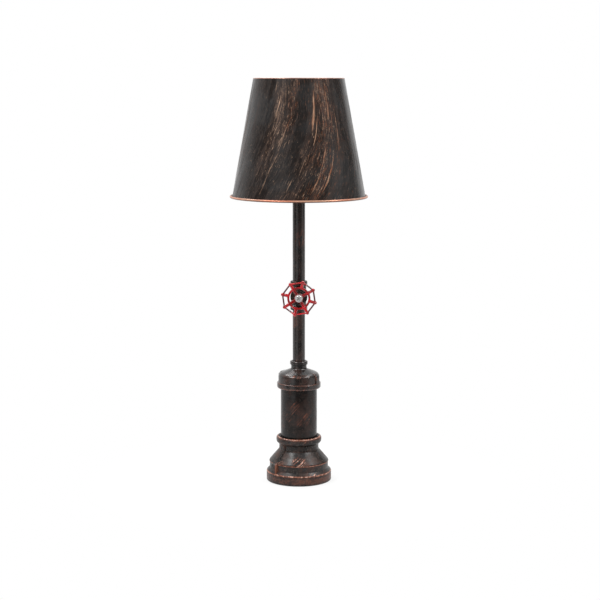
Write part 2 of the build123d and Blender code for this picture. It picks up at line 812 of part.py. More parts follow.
def nodes():
    """Every piece by its name, from the table upwards."""
    top_bush = ring(pole_radius, nipple_radius + screw_fit, upper_pole_top_z, holder_z)
    top_bush += ring(
        pole_inner_radius - screw_fit,
        nipple_radius + screw_fit,
        upper_pole_top_z - top_bush_spigot,
        upper_pole_top_z,
    )
    nipple_bottom = upper_pole_top_z - top_bush_spigot
    switch_top_z = tee_z + switch_terminal_width / 2
    spider_top_z = spider_z + spider_thickness
    return {
        "felt_pad": ring(plate_radius - drop_in_fit, 0, 0, pad_thickness),
        "base_plate": base_plate(),
        "base_plate_screws": plate_screws(),
        "ballast_weight": ballast_weight(),
        "ballast_screws": weight_screws(),
        "base_reducer": base_reducer(),
        "cord_bush": cord_bush(),
        "terminal_block": terminal_block(),
        "terminal_screw": terminal_screw(),
        "body_tube": ring(tube_radius, tube_inner_radius, tube_bottom_z, tube_top_z),
        "upper_reducer": upper_reducer(),
        "lower_pole": ring(pole_radius, pole_inner_radius, lower_pole_bottom_z, lower_pole_top_z),
        "valve_tee": valve_tee(),
        "branch_plug": branch_plug(),
        "switch_nut": switch_nut(),
        "rotary_switch": rotary_switch(),
        "switch_spindle": switch_spindle(),
        "handwheel": handwheel(),
        "wheel_washer": wheel_washer(),
        "wheel_screw": wheel_screw(),
        "upper_pole": ring(pole_radius, pole_inner_radius, tee_top_z - tee_pole_seat, upper_pole_top_z),
        "lower_cable": lower_cable(),
        "upper_cable": ring(cable_radius, 0, switch_top_z, insert_z),
        "pole_top_bush": top_bush,
        "lampholder_nipple": ring(
            nipple_radius, nipple_bore_radius, nipple_bottom, holder_z + nipple_rise
        ),
        "lampholder_cap": lampholder_cap(),
        "lampholder_insert": lampholder_insert(),
        "screw_shell": ring(
            shell_bore_radius + shell_wall, shell_bore_radius, shell_z, shell_z + shell_height
        ),
        "centre_contact": centre_contact(),
        "lampholder_sleeve": lampholder_sleeve(),
        "lower_shade_ring": Pos(0, 0, spider_z) * Rot(180, 0, 0) * shade_ring(),
        "upper_shade_ring": Pos(0, 0, spider_top_z) * shade_ring(),
        "spider_ring": spider_ring(),
        "spider_arms": spider_arms(),
        "shade_cone": shade_cone(),
        "shade_rim": shade_rim(),
    }


os.makedirs("parts", exist_ok=True)
for name, shape in nodes().items():
    solids = Compound(children=shape) if isinstance(shape, list) else shape
    export_step(solids, f"parts/{name}.step")
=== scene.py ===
from math import cos, pi, radians, sin, sqrt, tan

import bmesh
import bpy
from mathutils import Matrix, Vector


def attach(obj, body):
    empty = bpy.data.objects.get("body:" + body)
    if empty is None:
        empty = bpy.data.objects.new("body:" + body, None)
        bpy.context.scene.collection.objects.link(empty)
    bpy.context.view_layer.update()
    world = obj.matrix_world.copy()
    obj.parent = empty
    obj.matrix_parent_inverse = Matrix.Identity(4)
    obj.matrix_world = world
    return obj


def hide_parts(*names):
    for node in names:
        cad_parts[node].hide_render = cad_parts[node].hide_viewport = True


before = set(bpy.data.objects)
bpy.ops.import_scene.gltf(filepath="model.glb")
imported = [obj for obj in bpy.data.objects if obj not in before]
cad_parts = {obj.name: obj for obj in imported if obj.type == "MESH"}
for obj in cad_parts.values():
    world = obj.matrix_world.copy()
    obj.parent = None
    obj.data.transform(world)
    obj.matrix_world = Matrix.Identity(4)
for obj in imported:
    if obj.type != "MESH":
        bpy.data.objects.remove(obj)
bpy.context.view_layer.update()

mm = 0.001  # sizes and outlines below are in millimetres, but for the studio's
print("frame loaded:", len(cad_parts), "nodes")


def linked(name, data):
    made = bpy.data.objects.new(name, data)
    bpy.context.scene.collection.objects.link(made)
    return made


# camera, with its focal length in pixels of the picture
cameraView = {"place": (0.00175, -2.25, 0.6132), "pitch": 8.365, "sensor": 36, "focal": 1480,
              "picture": 600}
cameraData = bpy.data.cameras.new("photoCamera")
cameraData.sensor_width = cameraView["sensor"]
cameraData.lens = cameraView["focal"] / cameraView["picture"] * cameraView["sensor"]
camera = linked("photoCamera", cameraData)
camera.location = cameraView["place"]
camera.rotation_euler = (radians(90 - cameraView["pitch"]), 0, 0)
bpy.context.scene.camera = camera


# mesh helpers
meshDetail = {"cornerSteps": 6, "edgeSteps": 3, "merge": 1e-6, "crease": 35, "soften": 0.5}


def lathe(outline, steps=128, closed=True):
    # turns corners of (radius, height, ease) round the upright axis; ease rounds the corner
    bm = bmesh.new()
    corners = [bm.verts.new((radius * mm, 0, height * mm)) for radius, height, ease in outline]
    for a, b in zip(corners, corners[1:]):
        bm.edges.new((a, b))
    if closed:
        bm.edges.new((corners[-1], corners[0]))
    for corner, (radius, height, ease) in zip(corners, outline):
        if ease:
            bmesh.ops.bevel(bm, geom=[corner], offset=ease * mm, affect="VERTICES", profile=0.5, material=-1,
                            segments=meshDetail["cornerSteps"], clamp_overlap=True)
    return spinRound(bm, steps)


def spinRound(bm, steps):
    bmesh.ops.spin(bm, geom=bm.verts[:] + bm.edges[:], cent=(0, 0, 0), axis=(0, 0, 1), angle=2 * pi,
                   steps=steps, use_merge=True)
    return tidyMesh(bm)


def tidyMesh(bm):
    bmesh.ops.remove_doubles(bm, verts=bm.verts, dist=meshDetail["merge"])
    bmesh.ops.recalc_face_normals(bm, faces=bm.faces)
    return bm


def roundEdges(bm, ease):
    bmesh.ops.bevel(bm, geom=bm.edges[:], offset=ease * mm, affect="EDGES", profile=0.5, material=-1,
                    segments=meshDetail["edgeSteps"], clamp_overlap=True)


def ribPlate(outline, width, ease, turn):
    bm = bmesh.new()
    side = [bm.verts.new((radius * mm, -width / 2 * mm, height * mm)) for radius, height in outline]
    grown = bmesh.ops.extrude_face_region(bm, geom=[bm.faces.new(side)])
    far = [item for item in grown["geom"] if isinstance(item, bmesh.types.BMVert)]
    bmesh.ops.translate(bm, verts=far, vec=(0, width * mm, 0))
    bmesh.ops.recalc_face_normals(bm, faces=bm.faces)
    roundEdges(bm, ease)
    bmesh.ops.rotate(bm, verts=bm.verts, cent=(0, 0, 0), matrix=Matrix.Rotation(radians(turn), 3, "Z"))
    return tidyMesh(bm)


def rawMesh(name, bm):
    mesh = bpy.data.meshes.new(name)
    bm.to_mesh(mesh)
    bm.free()
    return mesh


def joinInto(bm, other):
    spare = rawMesh("spare", other)
    bm.from_mesh(spare)
    bpy.data.meshes.remove(spare)


def placed(bm, matrix):
    bmesh.ops.transform(bm, matrix=matrix, verts=bm.verts)
    return bm


def upBy(level):
    return Matrix.Translation((0, 0, level * mm))


def meshFrom(name, bm, crease=meshDetail["crease"]):
    return smoothed(rawMesh(name, bm), crease)


def smoothed(mesh, crease):
    mesh.polygons.foreach_set("use_smooth", [True] * len(mesh.polygons))
    mesh.set_sharp_from_angle(angle=radians(crease))
    return mesh


def addPiece(name, mesh, finishes, nodes, body="stand"):
    for material in finishes:
        mesh.materials.append(material)
    piece = linked(name, mesh)
    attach(piece, body)
    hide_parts(*nodes)


def castSmooth(name, bm, voxel, rounds):
    # melts overlapping shapes into one casting with soft inner corners
    rough = linked(name + "Rough", rawMesh(name + "Rough", bm))
    melt = rough.modifiers.new("melt", "REMESH")
    melt.mode = "VOXEL"
    melt.voxel_size = voxel * mm
    soften = rough.modifiers.new("soften", "SMOOTH")
    soften.factor = meshDetail["soften"]
    soften.iterations = rounds
    return finishedMesh(name, rough, 180)  # no sharp edge anywhere


def carved(name, bm, tools, operation):
    # cuts the tools out of a shape or joins them to it, with no faces left inside
    rough = linked(name + "Rough", rawMesh(name + "Rough", bm))
    spare = [linked(name + "Tool", rawMesh(name + "Tool", tool)) for tool in tools]
    for tool in spare:
        step = rough.modifiers.new("step", "BOOLEAN")
        step.operation = operation
        step.solver = "EXACT"
        step.use_self = True
        step.object = tool
    mesh = finishedMesh(name, rough, meshDetail["crease"])
    for tool in spare:
        bpy.data.objects.remove(tool)
    return mesh


def ribbedCasting(name, size):
    ribs = [ribPlate(size["rib"], size["ribWidth"], size["ribEase"], turn) for turn in size["ribTurns"]]
    return carved(name, lathe(size["outline"], size["steps"]), ribs, "UNION")


def finishedMesh(name, rough, crease):
    mesh = bpy.data.meshes.new_from_object(rough.evaluated_get(bpy.context.evaluated_depsgraph_get()))
    mesh.name = name
    bpy.data.objects.remove(rough)
    return smoothed(mesh, crease)


# node helpers
def feedSocket(tree, socket, value):
    if isinstance(value, bpy.types.NodeSocket):
        tree.links.new(value, socket)
    else:
        socket.default_value = value


def mathNode(tree, operation, *values):
    made = tree.nodes.new("ShaderNodeMath")
    made.operation = operation
    for socket, value in zip(made.inputs, values):
        feedSocket(tree, socket, value)
    return made.outputs[0]


edgeWear = {"ringBreak": 1.3, "ringCore": 0.25, "ribBreak": 1.5, "ribCore": 0.3, "ribFade": 1.0,
            "patchCore": 0.1}  # breaks and cores are shares of the reach


class Finish:
    def __init__(self, name):
        self.material = bpy.data.materials.new(name)
        self.material.use_nodes = True
        self.tree = self.material.node_tree
        self.shader = self.tree.nodes["Principled BSDF"]
        self.place = self.node("ShaderNodeTexCoord").outputs["Object"]
        self.axes = self.node("ShaderNodeSeparateXYZ")
        self.feed(self.axes.inputs[0], self.place)

    def node(self, kind, **settings):
        made = self.tree.nodes.new(kind)
        for key, value in settings.items():
            setattr(made, key, value)
        return made

    def feed(self, socket, value):
        feedSocket(self.tree, socket, value)

    def calc(self, operation, *values):
        return mathNode(self.tree, operation, *values)

    def plus(self, a, b):
        return self.calc("ADD", a, b)

    def minus(self, a, b):
        return self.calc("SUBTRACT", a, b)

    def times(self, first, *others):
        for other in others:
            first = self.calc("MULTIPLY", first, other)
        return first

    def larger(self, a, b):
        return self.calc("MAXIMUM", a, b)

    def apart(self, a, b):
        return self.calc("ABSOLUTE", self.minus(a, b))

    def longSide(self, across, up):
        return self.calc("SQRT", self.plus(self.times(across, across), self.times(up, up)))

    def turnTo(self, value, low, high, fromLow, fromHigh, curve="SMOOTHSTEP"):
        # low to high, while the value goes from fromLow to fromHigh
        made = self.node("ShaderNodeMapRange", interpolation_type=curve)
        self.feed(made.inputs["Value"], value)
        self.feed(made.inputs["From Min"], fromLow)
        self.feed(made.inputs["From Max"], fromHigh)
        self.feed(made.inputs["To Min"], low)
        self.feed(made.inputs["To Max"], high)
        return made.outputs["Result"]

    def noise(self, place, scale, detail, rough=0.55):
        made = self.node("ShaderNodeTexNoise")
        self.feed(made.inputs["Vector"], place)
        self.feed(made.inputs["Scale"], scale)
        self.feed(made.inputs["Detail"], detail)
        self.feed(made.inputs["Roughness"], rough)
        return made.outputs["Fac"]

    def stretched(self, place, scale):
        made = self.node("ShaderNodeMapping")
        self.feed(made.inputs["Vector"], place)
        self.feed(made.inputs["Scale"], scale)
        return made.outputs[0]

    def blend(self, low, high, share):
        made = self.node("ShaderNodeMix", data_type="RGBA")
        self.feed(made.inputs["Factor"], share)
        self.feed(made.inputs["A"], low)
        self.feed(made.inputs["B"], high)
        return made.outputs["Result"]

    def radius(self):
        return self.longSide(self.axes.outputs["X"], self.axes.outputs["Y"])

    def height(self):
        return self.axes.outputs["Z"]

    def around(self, axes=None):
        # angle from the front, growing to the right
        axes = axes or self.axes
        return self.calc("ARCTAN2", axes.outputs["X"], self.times(axes.outputs["Y"], -1.0))

    def nearRing(self, radius, height, ring, reach, ragged):
        # one on a turned edge, fading to nothing at its reach; ragged is a noise that breaks it up
        away = self.longSide(self.minus(radius, ring[0] * mm), self.minus(height, ring[1] * mm))
        away = self.plus(away, self.times(self.minus(ragged, 0.5), reach * edgeWear["ringBreak"] * mm))
        return self.turnTo(away, 1.0, 0.0, reach * edgeWear["ringCore"] * mm, reach * mm)

    def inPatch(self, angle, height, span, patch):
        # its weight in the middle of an oval on a round piece, fading to its edge
        middle, level, width, tall, weight = patch
        across = self.times(self.minus(angle, middle), span / width)
        up = self.times(self.minus(height, level * mm), 1 / (tall * mm))
        away = self.plus(self.times(across, across), self.times(up, up))
        return self.turnTo(away, weight, 0.0, edgeWear["patchCore"], 1.0)

    def onEdge(self, edge, ragged):
        # its weight along the side edge of a rib
        ribTurn, middle, low, high, reach, weight = edge
        turn, fade = radians(ribTurn), edgeWear["ribFade"]
        x, y = self.axes.outputs["X"], self.axes.outputs["Y"]
        side = self.plus(self.times(x, -sin(turn)), self.times(y, cos(turn)))
        out = self.plus(self.times(x, cos(turn)), self.times(y, sin(turn)))
        uneven = self.times(self.minus(ragged, 0.5), reach * edgeWear["ribBreak"] * mm)
        away = self.plus(self.apart(side, middle * mm), uneven)
        line = self.turnTo(away, weight, 0.0, reach * edgeWear["ribCore"] * mm, reach * mm)
        above = self.turnTo(self.height(), 0.0, 1.0, (low - fade) * mm, (low + fade) * mm)
        below = self.turnTo(self.height(), 1.0, 0.0, (high - fade) * mm, (high + fade) * mm)
        return self.times(line, self.times(above, below), self.calc("GREATER_THAN", out, 0.0))

    def brushed(self, span, lean, scale, long, detail, rough):
        # noise drawn out along strokes that lean to the right as they climb a round piece
        climb = self.times(self.height(), tan(radians(lean)) / (span * mm))
        angle = self.minus(self.around(), climb)
        return self.noise(self.stretched(self.unrolled(angle, span), (1, 1, long)), scale, detail, rough)

    def unrolled(self, angle, span):
        # place on a round piece, with strokes as wide at every radius
        made = self.node("ShaderNodeCombineXYZ")
        self.feed(made.inputs["X"], self.times(self.calc("SINE", angle), span * mm))
        self.feed(made.inputs["Y"], self.times(self.calc("COSINE", angle), -span * mm))
        self.feed(made.inputs["Z"], self.height())
        return made.outputs[0]

    def bump(self, height, strength, depth):
        made = self.node("ShaderNodeBump")
        self.feed(made.inputs["Strength"], strength)
        self.feed(made.inputs["Distance"], depth * mm)
        self.feed(made.inputs["Height"], height)
        self.feed(self.shader.inputs["Normal"], made.outputs[0])

    def set(self, **sockets):
        names = {"color": "Base Color", "metal": "Metallic", "rough": "Roughness",
                 "specular": "Specular IOR Level", "coat": "Coat Weight", "coatRough": "Coat Roughness",
                 "sheen": "Sheen Weight"}
        for key, value in sockets.items():
            self.feed(self.shader.inputs[names[key]], value)


def tint(*screen):
    # a colour given in screen values, made linear
    return [((c / 255 + 0.055) / 1.055) ** 2.4 if c > 10 else c / 255 / 12.92 for c in screen] + [1.0]


# charcoal paint brushed over copper, for castings, tubes and poles
castLook = {
    "dark": tint(23, 17, 15), "cool": tint(29, 30, 31), "warm": tint(66, 44, 36), "pale": tint(88, 80, 74),
    "rust": tint(104, 62, 48), "copper": tint(170, 108, 84), "tan": tint(224, 196, 180),
    "noises": {
        "cloud": (32.0, 3.0, 0.55), "mottle": (62.0, 4.0, 0.6), "fine": (320.0, 3.0, 0.6),
        "ragged": (150.0, 3.0, 0.6), "speck": (430.0, 1.0, 0.8),
    },  # scale, detail, roughness
    "stroke": {"long": 0.055, "detail": 2.0, "rough": 0.6},
    "spans": {"warm": (0.44, 0.64), "speck": (0.56, 0.66), "wear": (0.46, 0.62), "rough": (0.35, 0.65)},
    "fades": {
        "cool": (0.0, 1.0, 0.42, 0.6), "dust": (0.0, 0.25, 0.56, 0.72), "line": (0.0, 1.0, 0.49, 0.61),
        "grit": (0.55, 1.0, 0.42, 0.56), "gap": (0.75, 1.0, 0.4, 0.58), "rust": (0.0, 0.9, 0.04, 0.45),
        "copper": (0.0, 1.0, 0.4, 0.85), "bareRub": (0.0, 1.0, 0.55, 0.95),
        "bareGrit": (0.0, 0.8, 0.46, 0.62), "metal": (0.0, 0.4, 0.4, 0.9),
    },  # low, high, and the span that turns one to the other
    "fineGrain": 0.15, "grainDepth": 0.9,
}


def charcoalFinish(name, span, rings=(), patches=(), edges=(), lean=10, wear=0.3, grain=0.3, warmth=0.6,
                   strokes=950.0, gloss=0.3, rough=(0.2, 0.38), specks=0.5):
    look, spans, fades = castLook, castLook["spans"], castLook["fades"]
    finish = Finish(name)
    radius, height, angle = finish.radius(), finish.height(), finish.around()
    noises = {key: finish.noise(finish.place, *settings) for key, settings in look["noises"].items()}
    cloud, mottle, fine, ragged = (noises[key] for key in ("cloud", "mottle", "fine", "ragged"))
    tone = finish.blend(look["dark"], look["cool"], finish.turnTo(cloud, *fades["cool"]))
    tone = finish.blend(tone, look["warm"], finish.turnTo(mottle, 0.0, warmth, *spans["warm"]))
    tone = finish.blend(tone, look["pale"], finish.turnTo(fine, *fades["dust"]))
    tone = finish.blend(tone, look["pale"], finish.turnTo(noises["speck"], 0.0, specks, *spans["speck"]))
    lines = finish.turnTo(finish.brushed(span, lean, strokes, **look["stroke"]), *fades["line"])
    rub = finish.times(lines, finish.turnTo(cloud, 0.0, wear, *spans["wear"]))
    grit = finish.turnTo(fine, *fades["grit"])
    gaps = finish.times(finish.turnTo(mottle, *fades["gap"]), grit)
    for ring, reach, weight in rings:
        near = finish.nearRing(radius, height, ring, reach, ragged)
        rub = finish.larger(rub, finish.times(near, weight, gaps))
    for patch in patches:
        here = finish.inPatch(angle, height, span, patch)
        rub = finish.larger(rub, finish.times(here, lines, grit))
    for edge in edges:
        rub = finish.larger(rub, finish.onEdge(edge, ragged))
    tone = finish.blend(tone, look["rust"], finish.turnTo(rub, *fades["rust"]))
    tone = finish.blend(tone, look["copper"], finish.turnTo(rub, *fades["copper"]))
    bare = finish.times(finish.turnTo(rub, *fades["bareRub"]), finish.turnTo(fine, *fades["bareGrit"]))
    finish.set(color=finish.blend(tone, look["tan"], bare), metal=finish.turnTo(rub, *fades["metal"]),
               rough=finish.turnTo(mottle, *rough, *spans["rough"]), specular=gloss)
    finish.bump(finish.plus(mottle, finish.times(fine, look["fineGrain"])), grain, look["grainDepth"])
    return finish.material


plainLook = {"broadDetail": 4.0, "fineDetail": 3.0, "fineScale": 9, "toneSpan": (0.35, 0.68),
             "roughSpan": (0.3, 0.7), "grainDepth": 0.2}


def plainFinish(name, color, second, scale, rough, metal=0.0, grain=0.1, stretch=(1, 1, 1), specular=0.5,
                **more):
    # one even material with fine variation of tone and polish
    look = plainLook
    finish = Finish(name)
    place = finish.stretched(finish.place, stretch)
    broad = finish.noise(place, scale, look["broadDetail"])
    fine = finish.noise(place, scale * look["fineScale"], look["fineDetail"])
    tone = finish.blend(color, second, finish.turnTo(broad, 0.0, 1.0, *look["toneSpan"]))
    finish.set(color=tone, metal=metal, rough=finish.turnTo(fine, *rough, *look["roughSpan"]),
               specular=specular, **more)
    finish.bump(fine, grain, look["grainDepth"])
    return finish.material


# shade, a cone of sheet with a rolled copper rim
shadeSizes = {
    "foot": 441.7, "top": 619.9, "footRadius": 101.3, "topRadius": 68.7, "wall": 1.0, "hem": 5.0,
    "hemWall": 0.7, "hemEase": 0.25, "edge": 1.0, "topEase": 0.5, "wire": 1.85, "wireSteps": 24, "seat": 0.1,
    "steps": 192,
}
shadeLook = {
    "dark": tint(33, 28, 26), "cool": tint(43, 42, 42), "brown": tint(72, 50, 40),
    "tawny": tint(122, 96, 80), "amber": tint(152, 92, 60), "tan": tint(212, 174, 146),
    "dust": tint(92, 78, 70), "specular": 0.3, "metal": 0.3, "grain": 0.3, "grainDepth": 0.2,
    "span": 85.0, "acrossSpan": (-0.454, 1.127), "crest": (1.5, 0.165), "bow": (0.255, 0.777),
    "noises": {
        "wide": (0.12, 110.0, 3.0, 0.6), "hair": (0.075, 1050.0, 2.0, 0.7),
        "thin": (0.065, 1450.0, 2.0, 0.7), "cloud": (0.4, 19.0, 2.0, 0.55),
        "dust": (0.16, 900.0, 3.0, 0.7), "base": (1.0, 24.0, 3.0, 0.55),
    },  # stretch along the stroke, scale, detail, roughness
    "speck": (600.0, 2.0, 0.6),
    "fades": {
        "cool": (0.0, 1.0, 0.44, 0.62), "patch": (0.0, 0.6, 0.5, 0.7), "grit": (0.15, 1.0, 0.4, 0.55),
        "brown": (0.0, 0.5, 0.48, 1.0), "amber": (0.0, 0.9, 0.625, 0.77), "bare": (0.0, 0.9, 0.67, 0.8),
        "bareLine": (0.0, 1.0, 0.42, 0.58), "dust": (0.0, 0.7, 0.52, 0.74), "stain": (0.0, 1.0, 0.42, 0.62),
        "rough": (0.16, 0.46, 0.6, 0.82),
    },  # low, high, and the span that turns one to the other
    "loosePatch": 0.1, "looseWide": 0.1, "brownPatch": 0.26, "stainSide": 0.25, "roughHair": 0.4,
    "wideGrain": 1.2,
    "clusterCore": 0.3, "clusterEnd": 0.3,
    "clusters": (
        (-0.17, 0.3, 0.68, 0.55, 1.0), (0.53, 0.37, 0.85, 0.6, 1.0), (0.46, 0.42, 0.2, 0.5, 0.75),
    ),  # angle, width, level, reach, weight
    "line": {"wobble": 2.4, "core": 0.1, "reach": 0.75, "start": 0.08, "end": 0.1},
    "lines": (
        (0.295, 0.024, 0.55, 0.92, 1.0), (0.355, 0.011, 0.44, 0.74, 0.65), (0.588, 0.018, 0.64, 0.93, 0.75),
        (0.65, 0.011, 0.6, 0.75, 0.6), (0.648, 0.011, 0.04, 0.38, 0.85), (0.523, 0.011, 0.27, 0.47, 0.65),
        (0.538, 0.011, 0.05, 0.26, 0.7), (0.233, 0.01, 0.06, 0.21, 0.7), (-0.08, 0.009, 0.03, 0.42, 0.65),
        (-0.283, 0.016, 0.64, 0.88, 0.75), (-0.09, 0.011, 0.44, 0.64, 0.65), (0.296, 0.008, 0.21, 0.36, 0.6),
        (-0.396, 0.014, 0.86, 0.99, 0.6), (-0.24, 0.018, 0.6, 0.74, 0.6), (0.75, 0.011, 0.38, 0.78, 0.45),
    ),  # angle, width, from, to, weight
}


def shadeFinish():
    look, fades, size, stroke = shadeLook, shadeLook["fades"], shadeSizes, shadeLook["line"]
    finish = Finish("shadePaint")
    side = finish.calc("DIVIDE", finish.axes.outputs["X"], finish.radius())
    rise = finish.turnTo(finish.height(), 0.0, 1.0, size["foot"] * mm, size["top"] * mm, "LINEAR")
    # strokes lean to the right as they climb, and bow over on the right-hand side
    crest = finish.turnTo(side, *look["crest"], *look["acrossSpan"], "LINEAR")
    bow = finish.turnTo(side, *look["bow"], *look["acrossSpan"])
    climb = finish.minus(rise, crest)
    spun = finish.node("ShaderNodeVectorRotate", rotation_type="Z_AXIS")
    finish.feed(spun.inputs["Vector"], finish.place)
    finish.feed(spun.inputs["Angle"], finish.times(climb, climb, bow))
    turned = finish.node("ShaderNodeSeparateXYZ")
    finish.feed(turned.inputs[0], spun.outputs[0])
    angle = finish.around(turned)
    strokes = finish.unrolled(angle, look["span"])
    noises = {key: finish.noise(finish.stretched(strokes, (1, 1, long)), *settings)
              for key, (long, *settings) in look["noises"].items()}
    wide, hair, thin, cloud = (noises[key] for key in ("wide", "hair", "thin", "cloud"))
    patch = finish.turnTo(cloud, *fades["patch"])  # clusters all round
    for middle, width, level, reach, weight in look["clusters"]:
        core = look["clusterCore"]
        across = finish.turnTo(finish.apart(angle, middle), 1.0, 0.0, width * core, width)
        up = finish.turnTo(finish.apart(rise, level), 1.0, look["clusterEnd"], reach * core, reach)
        patch = finish.larger(patch, finish.times(across, up, weight))
    loose = finish.plus(finish.times(patch, look["loosePatch"]),
                        finish.times(finish.minus(wide, 0.5), look["looseWide"]))
    grit = finish.turnTo(finish.noise(finish.place, *look["speck"]), *fades["grit"])
    brown = finish.turnTo(finish.plus(finish.times(patch, look["brownPatch"]), wide), *fades["brown"])
    amber = finish.times(finish.turnTo(finish.plus(hair, loose), *fades["amber"]), grit)
    bare = finish.times(finish.turnTo(finish.plus(thin, loose), *fades["bare"]), grit)
    for middle, width, low, high, weight in look["lines"]:
        wobble = finish.times(finish.minus(hair, 0.5), width * stroke["wobble"])
        across = finish.calc("ABSOLUTE", finish.plus(finish.minus(angle, middle), wobble))
        ends = finish.times(finish.turnTo(rise, 0.0, weight, low, low + stroke["start"]),
                            finish.turnTo(rise, 1.0, 0.0, high - stroke["end"], high))
        line = finish.turnTo(across, 1.0, 0.0, width * stroke["core"], width * stroke["reach"])
        line = finish.times(line, ends)
        amber = finish.larger(amber, line)
        bare = finish.larger(bare, finish.times(line, finish.turnTo(thin, *fades["bareLine"])))
    tone = finish.blend(look["dark"], look["cool"], finish.turnTo(noises["base"], *fades["cool"]))
    tone = finish.blend(tone, look["brown"], brown)
    tone = finish.blend(tone, look["dust"], finish.turnTo(noises["dust"], *fades["dust"]))
    ruddy = finish.plus(cloud, finish.times(side, look["stainSide"]))
    stain = finish.blend(look["tawny"], look["amber"], finish.turnTo(ruddy, *fades["stain"]))
    tone = finish.blend(tone, stain, amber)
    uneven = finish.plus(wide, finish.times(hair, look["roughHair"]))
    finish.set(color=finish.blend(tone, look["tan"], bare), metal=finish.times(amber, look["metal"]),
               rough=finish.turnTo(uneven, *fades["rough"]), specular=look["specular"])
    finish.bump(finish.plus(hair, finish.times(wide, look["wideGrain"])), look["grain"], look["grainDepth"])
    return finish.material


copperFinish = plainFinish("satinCopper", tint(184, 132, 114), tint(206, 162, 144), 40.0, (0.2, 0.3),
                           metal=0.6, grain=0.02)
insideFinish = plainFinish("shadeInside", tint(176, 106, 80), tint(196, 132, 102), 30.0, (0.38, 0.55),
                           metal=0.55, grain=0.06, stretch=(1, 1, 0.15))
rimLook = {
    # under is a painted shade colour for the underside of the rolled rim
    "under": tint(102, 68, 54), "litCopper": tint(206, 132, 104), "pale": tint(206, 158, 132), "metal": 0.4,
    "specular": 0.5, "broad": (22.0, 2.0), "fine": (240.0, 2.0), "paleFade": (0.0, 1.0, 0.4, 0.62),
    "roughFade": (0.3, 0.38, 0.3, 0.7), "litFrom": -0.9, "litTo": 0.2, "grooveShadeFrom": 0.9, "grooveShadeTo": 1.7,
    "grooveShadeShare": 0.25,
}


def rimFinish():
    # copper along the lit top of the wire, with painted shade: brown on the underside and darker again at
    # the very top, under the shade's wall
    look, middle = rimLook, shadeSizes["foot"]
    finish = Finish("rimCopper")
    broad = finish.noise(finish.place, *look["broad"])
    fine = finish.noise(finish.place, *look["fine"])
    level = finish.height()
    litCopper = finish.blend(look["litCopper"], look["pale"], finish.turnTo(broad, *look["paleFade"]))
    # painted shade: copper only in a band just above the wire's middle, brown below it and again towards its
    # very top
    up = finish.turnTo(level, 0.0, 1.0, (middle + look["litFrom"]) * mm, (middle + look["litTo"]) * mm)
    grooveShade = finish.turnTo(level, 1.0, look["grooveShadeShare"], (middle + look["grooveShadeFrom"]) * mm,
                         (middle + look["grooveShadeTo"]) * mm)
    finish.set(color=finish.blend(look["under"], litCopper, finish.times(up, grooveShade)), metal=look["metal"],
               rough=finish.turnTo(fine, *look["roughFade"]), specular=look["specular"])
    return finish.material


def shadeShell():
    size = shadeSizes
    slope = (size["topRadius"] - size["footRadius"]) / (size["top"] - size["foot"])
    hemLevel = size["top"] - size["hem"]
    hemRadius = size["footRadius"] + slope * (hemLevel - size["foot"])
    edgeLevel = size["top"] - size["edge"]
    edgeRadius = size["footRadius"] + slope * (edgeLevel - size["foot"])
    inside = size["wall"] + size["hemWall"]
    bm = lathe([
        (size["footRadius"] - size["wall"], size["foot"], 0),
        (size["footRadius"], size["foot"], 0),
        (edgeRadius, edgeLevel, 0),
        (size["topRadius"], size["top"], size["topEase"]),
        (size["topRadius"] - inside, size["top"], size["topEase"]),
        (hemRadius - inside, hemLevel, size["hemEase"]),
        (hemRadius - size["wall"], hemLevel, 0),
    ], size["steps"])
    mesh = meshFrom("shadeShell", bm)
    for face in mesh.polygons:  # inside and top edge are copper
        middle = face.center
        inward = face.normal.x * middle.x + face.normal.y * middle.y < 0
        face.material_index = 1 if inward else 2 if middle.z > edgeLevel * mm else 0
    finishes = [shadeFinish(), insideFinish, copperFinish]
    addPiece("shadeShell", mesh, finishes, ["shade_cone"])


def rolledRim():
    size = shadeSizes
    bm = bmesh.new()
    bmesh.ops.create_circle(bm, segments=size["wireSteps"], radius=size["wire"] * mm)
    middle = size["footRadius"] + size["wire"] + size["seat"]
    placed(bm, Matrix.Translation((middle * mm, 0, size["foot"] * mm)) @ Matrix.Rotation(pi / 2, 4, "X"))
    spinRound(bm, size["steps"])
    addPiece("rolledRim", meshFrom("rolledRim", bm), [rimFinish()], ["shade_rim"])


shadeShell()
rolledRim()
print("shade done")


